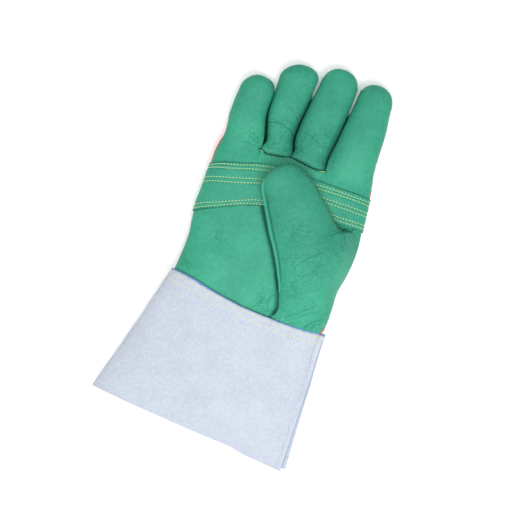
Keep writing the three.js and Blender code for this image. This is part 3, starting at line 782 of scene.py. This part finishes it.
def cuff_points():
    """The sheet with its seam allowance: past the seam both layers run on flat, the front one to its cut edge and
    the back one, just under it, further out."""
    x, y, z, at = cuff_sheet()
    ends = []
    for column, width in ((0, at["right"][:, :1] - x[:, :1]), (-1, at["lower"][:, -1:] - x[:, -1:])):
        t = np.linspace(1, 0, 8)[None, :-1] if column == 0 else np.linspace(0, 1, EDGE_COLUMNS + 1)[None, 1:]
        ex = x[:, [column]] + width * t
        ends.append(np.stack([ex, y[:, [column]] + 0 * t, z[:, [column]] + 0 * t], axis=-1))
    points = np.concatenate([ends[0], np.stack([x, y, z], axis=-1), ends[1]], axis=1)
    px, py, _ = np.moveaxis(points, -1, 0)
    lift = 0.5 * unevenness(px, py, 30, 21) + 0.2 * unevenness(px, py, 9, 22)
    free = ease(-52, -75, py) * ease(0.3, 2.0, points[..., 2])
    points = points + outward(points) * (lift * free)[..., None]
    away = py - line_at(CUFF_TOP, px)
    raw = ease(-1.5, -0.2, away + 0.4 * unevenness(px, py, 1.5, 24))
    raw[:, ends[0].shape[1] + FRONT_COLUMNS :] *= 0.2
    # Painted shadow: a dark line on the back layer just past the front layer's cut edge, over a faint darker tint
    # of the back layer's strip.
    past = px - at["right"][:, :1]
    beyond = 0.08 * ease(-0.5, 0.5, past) + 0.4 * np.exp(-(((past - 0.2) / 0.5) ** 2))
    raw[:, -EDGE_COLUMNS:] += beyond[:, -EDGE_COLUMNS:]
    return points, {"raw_edge_and_painted_shadow": np.clip(raw, 0, 1)}


def split_leather(name, colour, dark):
    """Suede split: pale nap that drifts in soft blotches, with a short fibrous bump and no gloss."""
    material, tree, shader, place = blank_material(name)
    blotch = noise(tree, place, 40, 6, 0.62)
    nap = noise(tree, place, 420, 5, 0.62)
    fibre = noise(tree, place, 1300, 4, 0.62)
    mixed = math_node(tree, "MULTIPLY_ADD", blotch, 0.36, math_node(tree, "MULTIPLY", nap, 0.64))
    # The blue mark holds the top cut edge's own colour and a painted shadow line beside the side seam.
    tone = marked(tree, "raw_edge_and_painted_shadow", two_tones(tree, mixed, 0.34, dark, 0.6, colour), (0.1, 0.24, 0.43))
    fibres = relief(tree, math_node(tree, "ADD", nap, fibre), 0.85, 0.0005)
    numbers = {"Roughness": 0.95, "Specular IOR Level": 0.15, "Sheen Weight": 0.25, "Sheen Roughness": 0.6}
    return finished(material, shader, tone, fibres, numbers)


pale_split = split_leather("pale split leather", (0.535, 0.583, 0.668), (0.44, 0.485, 0.573))
cuff_grid, marks = cuff_points()
cuff = surface("cuff_sheet", cuff_grid, None, SPLIT_THICK, pale_split, marks)
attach(cuff, "root")
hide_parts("cuff")

# Thumb
# A wing thumb: one plump piece runs from the cuff's edge up the side of the hand and folds over the palm. Its
# back piece lies on the palm, and a rolled welt is caught in the seam between the two along the left edge.
THUMB_ROWS = {
    "lx": [
        26.5, 31.5, 32.7, 31.9, 28.3, 25.5, 20.5, 15, 12.5, 10.8, 10,
        9, 8, 2.5, -5.2, -12.8, -19, -20.5, -17.2, -11.5, -7,
    ],
    "ly": [
        -60, -47, -41, -37, -28.5, -21.5, -12.5, -2.7, 1.2, 3.8, 5,
        6.3, 7.6, 15, 26.3, 38.5, 47, 57, 66, 73, 75.8,
    ],
    "lz": [
        21.5, 22, 22.5, 22.8, 23.2, 24, 25.2, 27, 27.6, 28, 28.3,
        28.5, 28.8, 30, 32, 34, 35.5, 36.5, 37, 37, 37,
    ],
    "rx": [
        71.6, 75, 76.5, 77, 75.9, 75.2, 74.7, 76.4, 77.5, 76.8, 75,
        66.5, 57.7, 50.5, 40, 28.5, 19.5, 8.5, 1, -4, -6.6,
    ],
    "ry": [
        -60, -47, -41, -33, -23, -17, -6, 8, 22, 39, 48,
        45.4, 41.6, 45.1, 53.8, 62.5, 70.3, 76, 77.9, 77.2, 76,
    ],
    "rz": [15, 15, 15, 12, 12, 12, 12, 12, 12, 12, 12, 24.5, 26, 30.5, 34, 36, 37, 37, 37, 37, 37],
    "rfoot": [15, 15, 14, 13, 12, 12, 12, 12, 12.5, 15, 19, 23, 26, 30.5, 34, 36, 37, 37, 37, 37, 37],
    "crown": [
        21, 24.5, 27, 29.5, 32.5, 35, 38, 40.5, 41, 41.5, 41.6,
        41.9, 42.4, 43.6, 45, 46, 46.4, 46.2, 44.5, 41, 37.4,
    ],
    "end": [1, 1, 1, 1, 1, 1, 1, 1, 0.99, 0.95, 0.9, 0.93, 1, 1, 1, 1, 1, 1, 1, 1, 1],
}
LAST_ROW = len(THUMB_ROWS["lx"]) - 1
THUMB_TIP_HEIGHT = 37
THUMB_BACK_THICK = 1.4
ON_THE_PATCH = 27.6
WELT_OUTER = [
    (-20.6, 58), (-20, 50), (-17.4, 44.6), (-12.8, 38.2), (-5.2, 26.3), (0.5, 17.3),
    (8.2, 7.3), (15, -2.7), (20.5, -12.5), (25.5, -21.5), (28.4, -28),
]
WELT_INNER = [
    (-18.6, 57), (-16.6, 50), (-13.9, 45.2), (-8.2, 36.3), (-1.6, 26.3), (5, 15.2),
    (11.6, 6.3), (18.3, -4.8), (23, -13.6), (26.6, -20.6), (28.8, -27.5),
]
THUMB_CREASES = [
    ([(53.8, 26.6), (48.4, 17.1), (38.5, 7.6), (32.4, -2.3), (31.4, -10)], 0.36, 0.6),
    ([(53, 7.9), (60.3, 3.5), (67.9, -1.7)], 0.3, 0.6),
    ([(32.8, -16.7), (36.7, -19.7), (41.4, -22.4)], 0.4, 0.5),
    ([(36.8, -47.3), (47.7, -40), (55.6, -32.2), (62.6, -24.9)], 0.42, 0.6),
    ([(44, -46), (54, -38.5), (62, -31.5), (70, -26)], 0.32, 0.55),
    ([(58.8, -49.3), (63.6, -41), (73.3, -33.3)], 0.75, 0.55),
    ([(63.4, -47.4), (67.5, -41.3), (72.1, -39.4)], 0.7, 0.5),
    ([(54.9, 26.1), (60.2, 21.9), (67.1, 16.4)], 0.32, 0.55),
    ([(18.2, 15.8), (21.3, 25.3), (24.2, 33.8)], 0.3, 1.4),
    ([(23.7, 8), (27, 2), (30.7, -4.8)], 0.26, 0.65),
    ([(57.5, 40.5), (61.7, 37), (65.7, 31)], 0.4, 0.5),
    ([(59, 35), (63, 29), (68, 24)], 0.3, 0.5),
    ([(35, -13), (45, -4), (52, 4)], 0.26, 0.7),
    ([(34, -30), (38, -26), (44, -23)], 0.25, 0.55),
]


def thumb_rows(first, count):
    """The thumb's measures at count rows between one of the table's rows and its last one."""
    row = np.linspace(first, LAST_ROW, count)[:, None]
    return {name: smooth(np.arange(len(values)), values, row) for name, values in THUMB_ROWS.items()}


def under_cuff(x, y, z):
    """z, pressed down where the leather goes in under the cuff, so that it stays clear of the cuff's inside."""
    at = cuff_at(y)
    s = np.clip((2 * x - at["left"] - at["seam"]) / (at["seam"] - at["left"]), -1, 1)
    roof = at["edge"] + (at["top"] - at["edge"]) * bulge(s, at["square"], 1.9) - SPLIT_THICK - 0.3
    return np.minimum(z, roof + 25 * ease(-0.5, 5, y - line_at(CUFF_TOP, x)))


def thumb_front():
    """A grid of arches between the thumb's left edge and its right edge or the hand's side. Each is the rounded
    maximum of the thumb's own arch, over the first part of the row, and the hand's arch underneath it."""
    at = thumb_rows(0, 250)
    free = ease(9.6, 10.4, np.linspace(0, LAST_ROW, 250)[:, None])
    at["rx"] = at["rx"] * free + hand_at(at["ry"], "right")[0] * (1 - free)
    t = (1 - np.cos(np.pi * np.linspace(0, 1, 130)[None, :])) / 2
    x = at["lx"] + (at["rx"] - at["lx"]) * t
    y = at["ly"] + (at["ry"] - at["ly"]) * t
    end = np.clip(at["end"], 0.5, 1)
    s = np.clip(2 * t / end - 1, -1, 1)
    foot = np.where(s < 0, at["lz"], at["rfoot"])
    own = foot + (at["crown"] - foot) * bulge(s, 2.3, 1.75) - 6 * np.maximum(2 * t / end - 2, 0)
    left, right, top, edge = hand_at(y, "left", "right", "top", "edge")
    across = np.clip((2 * x - left - right) / (right - left), -1, 1)
    hand = edge + (top - edge) * bulge(across, PALM_SQUARE)
    near_side = bulge(across, 5, 2)
    points = np.stack([x, y, smooth_max(own * near_side + hand * (1 - near_side), hand, 0.6)], axis=-1)
    folds = creased(x, y, THUMB_CREASES)
    flat = ease(0.15, 0.6, np.abs(outward(points)[..., 2]))
    drop = folds - 0.4 * unevenness(x, y, 15, 11) - 0.1 * unevenness(x, y, 5, 12)
    points = points - outward(points) * (drop * flat)[..., None]
    points[..., 2] = under_cuff(*np.moveaxis(points, -1, 0))
    # Painted shade: a dark line in the valley inside the welt, darker in the creases, and darker towards the tip.
    valley, gone = path_distance(x, y, np.array(WELT_INNER[1:]) + (0.7, 0.4))
    dark = folds * 0.6 + 0.6 * np.exp(-((valley / 0.7) ** 2)) * ease(0, 0.1, gone) * ease(1, 0.7, gone)
    dark = dark + 0.3 * ease(-20, 55, y)
    return points, {"painted_shade": np.clip(dark, 0, 0.8), "wrinkled": wrinkled(x, y, THUMB_CREASES, 12.0, 0.3)}


thumb_points, marks = thumb_front()
thumb = surface("thumb_leather", thumb_points, None, GRAIN_THICK, green_leather, marks)
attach(thumb, "root")
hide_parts("thumb_front")


def thumb_side():
    """Where the thumb's leather turns under the hand's right side: rows along y, columns to the side seam."""
    y = np.linspace(-40, 47, 100)[:, None]
    top, edge = hand_at(y, "top", "edge")
    stop = seam_stop("index", y, top, edge, PALM_SQUARE)
    first = 0.985
    p = first + (np.maximum(stop, 1.0) - first) * np.linspace(0, 1, 14)[None, :]
    x, z = hand_section(p, y, 0.1)
    return np.stack([x, y + 0 * x, z], axis=-1)


side = surface("thumb_side_leather", thumb_side(), None, GRAIN_THICK, green_leather)
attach(side, "root")
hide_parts("thumb_front")


def thumb_underside():
    """The back piece of the thumb's free part: hanging arches between the same two edges as the front's, down to
    the palm patch."""
    at = thumb_rows(12, 90)
    t = (1 - np.cos(np.pi * np.linspace(0, 1, 70)[None, :])) / 2
    x = at["lx"] + (at["rx"] - at["lx"]) * t
    y = at["ly"] + (at["ry"] - at["ly"]) * t
    side = at["lz"] + (at["rz"] - at["lz"]) * t
    full = np.clip((at["crown"] - THUMB_TIP_HEIGHT) / 6, 0, 1)
    z = side - (side - ON_THE_PATCH) * full * bulge(2 * t - 1, 2.6)
    return np.stack([x, y, z], axis=-1)[:, ::-1]


# Painted shade: the back piece uses the green leather painted darker, for the shade under the thumb.
thumb_back = surface("thumb_back_leather", thumb_underside(), None, THUMB_BACK_THICK, leather_in_painted_shade)
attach(thumb_back, "root")
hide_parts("thumb_back")

# Thumb welt
# A folded strip of leather caught in the left seam of the thumb. It stands up as a ridge 3 mm wide from the
# foot of the seam to below the tip.
WELT_STEPS = 120


def grid_tree(grid):
    """A tree for ray casts against a grid of points, in millimetres."""
    quads = grid_quads(*grid.shape[:2]).reshape(-1, 4)
    return BVHTree.FromPolygons(grid.reshape(-1, 3).tolist(), quads.tolist())


def dropped(tree, places, way=-1):
    """Where a vertical ray meets the tree at each place, and the normal there, turned towards the ray's start."""
    hits = [tree.ray_cast(Vector((x, y, -60.0 * way)), Vector((0, 0, way))) for x, y in places]
    found = np.array([hit[0] is not None for hit in hits])
    spots = np.array([tuple(hit[0]) for hit in hits if hit[0] is not None])
    normals = np.array([tuple(hit[1]) for hit in hits if hit[0] is not None])
    return found, spots, normals * np.where(normals[:, 2:] * way > 0, -1, 1)


def ridge(path, across, up, sides=12):
    """A tube along a path whose section is an ellipse, smaller towards both ends, as (steps, sides, xyz)."""
    along = np.gradient(path, axis=0)
    along /= np.linalg.norm(along, axis=1, keepdims=True)
    side = np.cross(along, [0, 0, 1])
    side /= np.linalg.norm(side, axis=1, keepdims=True)
    lift = np.cross(side, along)
    turn = np.linspace(0, 2 * np.pi, sides + 1)[None, :, None]
    size = (np.sin(np.pi * np.linspace(0, 1, len(path))) ** 0.22)[:, None, None]
    return path[:, None] + size * (across * np.cos(turn) * side[:, None] + up * np.sin(turn) * lift[:, None])


thumb_tree = grid_tree(thumb_points)
middle = (fine_path(WELT_OUTER, WELT_STEPS) + fine_path(WELT_INNER, WELT_STEPS)) / 2
found, spots, _ = dropped(thumb_tree, middle)
heights = np.interp(np.arange(WELT_STEPS), np.flatnonzero(found), spots[:, 2])
heights = np.convolve(np.pad(heights, 8, mode="edge"), np.ones(17) / 17, mode="valid")
roll = ridge(np.column_stack([middle, heights + 0.1]), 1.55, 1.5)
welt = surface("thumb_welt_leather", roll, None, 0, green_leather)
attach(welt, "root")
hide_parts("thumb_welt")

# Stitches
# Spun thread: pale green on the palm and yellow on the cuff. Each stitch is a short rounded bar whose two ends
# dip into the leather, turned to lie along its row.
# A stitch is its pitch, length and width in millimetres.
PATCH_STITCH = (2.8, 2.25, 0.82)
SEAM_STITCH = (2.3, 1.2, 0.55)
SEAM_END_STITCH = (1.7, 1.3, 0.9)
CUFF_STITCH = (3.8, 3.3, 0.65)


def thread(name, colour):
    """Matt thread with a fine twisted bump."""
    material, tree, shader, place = blank_material(name)
    twist = relief(tree, noise(tree, place, 2600, 2), 0.5, 0.0002)
    return finished(material, shader, colour, twist, {"Roughness": 0.7})


def bars_along(path, normals, pitch, length, wide, sides=6, sections=5):
    """The stitches along a run over the leather, as an array of (stitch, section, side, xyz). A stitch's half
    width follows a superellipse along its length, and its middle stands on the leather while its ends are sunk
    in."""
    gone = np.concatenate([[0], np.cumsum(np.linalg.norm(np.diff(path, axis=0), axis=1))])
    at = np.arange(pitch / 2, gone[-1], pitch)
    spots, normals, ahead, behind = (
        np.column_stack([np.interp(at + step, gone, values) for values in curve.T])
        for curve, step in ((path, 0), (normals, 0), (path, 0.3), (path, -0.3))
    )
    normals /= np.linalg.norm(normals, axis=1, keepdims=True)
    along = ahead - behind
    along -= normals * (along * normals).sum(1, keepdims=True)
    along /= np.linalg.norm(along, axis=1, keepdims=True)
    side = np.cross(normals, along)
    s = np.linspace(-1, 1, sections)[None, :, None, None]
    turn = np.linspace(0, 2 * np.pi, sides, endpoint=False)[None, None, :, None]
    full = np.sqrt(np.maximum(1 - np.abs(s) ** 3, 0.02))
    centre = spots[:, None, None] + along[:, None, None] * s * length / 2
    centre = centre + normals[:, None, None] * (0.16 - 0.3 * s**4)
    rim = side[:, None, None] * np.cos(turn) + normals[:, None, None] * np.sin(turn) * 0.8
    return centre + full * wide / 2 * rim


def stitch_row(tree, path, stitch, way=-1):
    """The stitches of a row that is drawn in plan and dropped on a piece."""
    _, spots, normals = dropped(tree, fine_path(path, 400), way)
    return bars_along(spots, normals, *stitch)


def band_row(grid, row, from_x=-99.0, to_x=99.0):
    """The stitches of a row over the band, round its sides too. In each column of the grid the row goes through
    the point whose y is that of the drawn row at that x."""
    knots = np.array(row, float).T
    x = grid[len(grid) // 2, :, 0]
    y = smooth(*knots, np.clip(x, knots[0, 0], knots[0, -1]))
    at = np.clip((y - grid[0, :, 1]) / (grid[-1, :, 1] - grid[0, :, 1]), 0, 1) * (len(grid) - 1)
    k = np.minimum(at.astype(int), len(grid) - 2)
    column = np.arange(grid.shape[1])
    spots = grid[k, column] + (grid[k + 1, column] - grid[k, column]) * (at - k)[:, None]
    kept = (x > from_x) & (x < to_x)
    return bars_along(spots[kept], outward(grid)[k, column][kept], *PATCH_STITCH)


def stitches(name, rows, material):
    """One mesh of all the stitches in the rows: six-sided bars, closed at both ends."""
    bars = np.concatenate(rows)
    count, sections, sides = bars.shape[:3]
    ring = np.arange(sides)
    after = (ring + 1) % sides
    step = np.arange(sections - 1)[:, None] * sides
    corners = [step + ring, step + after, step + sides + after, step + sides + ring]
    start = np.arange(count)[:, None] * sections * sides
    faces = (start[:, :, None] + np.stack(corners, axis=-1).reshape(-1, 4)).reshape(-1, 4).tolist()
    faces += (start + ring[::-1]).tolist() + (start + (sections - 1) * sides + ring).tolist()
    return linked(name, bars.reshape(-1, 3), faces, material)


pale_green = thread("pale green thread", (0.53, 0.72, 0.33))
left_stitches = [band_row(patch_points, row, to_x=row[-1][0]) for row in LEFT_ROWS]
right_stitches = [band_row(patch_points, row, from_x=row[0][0]) for row in RIGHT_ROWS]
palm_stitches = stitches("patch_stitches", left_stitches + right_stitches, pale_green)
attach(palm_stitches, "root")
strap_rows = [left + right for left, right in zip(LEFT_ROWS, RIGHT_ROWS)]
strap_stitches = stitches("strap_stitches", [band_row(strap_points, row) for row in strap_rows], pale_green)
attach(strap_stitches, "root")

seam_tree = grid_tree(palm_points)
SEAM_ROWS = [[(x, y - 1.5) for x, y in MIDDLE_SEAM[1:-1]]]
SEAM_ENDS = [[(-31.8, 79.6), (-28.6, 78.2)], [(21.2, 81.2), (25.6, 82.8)]]
seam_stitches = stitches(
    "seam_stitches",
    [stitch_row(seam_tree, row, SEAM_STITCH) for row in SEAM_ROWS]
    + [stitch_row(seam_tree, row, SEAM_END_STITCH) for row in SEAM_ENDS],
    pale_green,
)
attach(seam_stitches, "root")

cuff_tree = grid_tree(cuff_grid)
TOP_ROWS = [
    [(-65, -44.6), (-62.2, -46.5), (-30, -49.6), (-2.2, -53), (30, -54.2), (55, -53), (77.5, -50.6)],
    [(-67, -49.6), (-62.2, -51.5), (-30, -55), (-2.2, -57.5), (28, -59), (55, -58.2), (78, -56.2)],
]
yellow = thread("pale yellow thread", (0.76, 0.78, 0.36))
cuff_stitches = stitches(
    "cuff_stitches",
    [stitch_row(cuff_tree, row, CUFF_STITCH, way) for row in TOP_ROWS for way in (-1, 1)],
    yellow,
)
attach(cuff_stitches, "root")

# Loose thread end
# The yellow thread of the cuff's side seam ends at the foot's right corner in a short loop that stands up from
# the leather.
LOOP = [
    (87.0, -157.2, 4.4), (87.6, -158, 5.6), (88.5, -158.6, 6.2), (89.3, -158.2, 6), (89.9, -157.1, 5.4),
    (90.1, -155.9, 4.9),
]
loose_end = surface("loose_thread_end", ridge(fine_path(LOOP, 40), 0.3, 0.3, 8), None, 0, yellow)
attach(loose_end, "root")

# Floor, light and camera
# A white table that glows slightly, lit from all round by a pale sky. A stronger soft lamp hangs towards the
# cuff on the thumb's side, and a broader one over the other side. The camera looks straight down through a long
# lens and is turned so that the glove leans to the right.
VIEW_WIDTH = 0.454
VIEW_CENTRE = (0.00705, -0.0097)
VIEW_DISTANCE = 1.6
GLOVE_TOP = 0.012
LEAN = math.radians(22)
SENSOR = 36
FLOOR_CORNERS = np.array([(-3000, -3000, -0.4), (3000, -3000, -0.4), (3000, 3000, -0.4), (-3000, 3000, -0.4)])
white = bpy.data.materials.new("white table")
white.use_nodes = True
white_shader = white.node_tree.nodes["Principled BSDF"].inputs
white_shader["Base Color"].default_value = (0.95, 0.95, 0.95, 1)
white_shader["Roughness"].default_value = 0.9
white_shader["Emission Color"].default_value = (1, 1, 1, 1)
white_shader["Emission Strength"].default_value = 0.2
floor = linked("floor", FLOOR_CORNERS, [(0, 1, 2, 3)], white)

bpy.context.scene.view_settings.view_transform = "Standard"
world = bpy.data.worlds.new("sky")
bpy.context.scene.world = world
world.use_nodes = True
world.node_tree.nodes["Background"].inputs["Color"].default_value = (1, 1, 1, 1)
world.node_tree.nodes["Background"].inputs["Strength"].default_value = 0.5
LAMPS = (("key softbox", (0.42, -0.42, 1.15), 0.75, 11.1), ("fill softbox", (-0.35, -0.05, 1.3), 1.1, 6))
for name, place, size, energy in LAMPS:
    lamp = bpy.data.lights.new(name, "AREA")
    lamp.shape, lamp.size, lamp.energy = "DISK", size, energy
    softbox = bpy.data.objects.new(name, lamp)
    softbox.location = place
    softbox.rotation_euler = (Vector((0, 0, 0)) - softbox.location).to_track_quat("-Z", "Y").to_euler()
    bpy.context.scene.collection.objects.link(softbox)

camera = bpy.data.objects.new("camera", bpy.data.cameras.new("camera"))
bpy.context.scene.collection.objects.link(camera)
camera.data.sensor_width = SENSOR
camera.data.lens = SENSOR * VIEW_DISTANCE / VIEW_WIDTH
camera.data.clip_end = 20
above = Matrix.Translation((*VIEW_CENTRE, VIEW_DISTANCE + GLOVE_TOP))
camera.matrix_world = above @ Matrix.Rotation(LEAN, 4, "Z")
bpy.context.scene.camera = camera
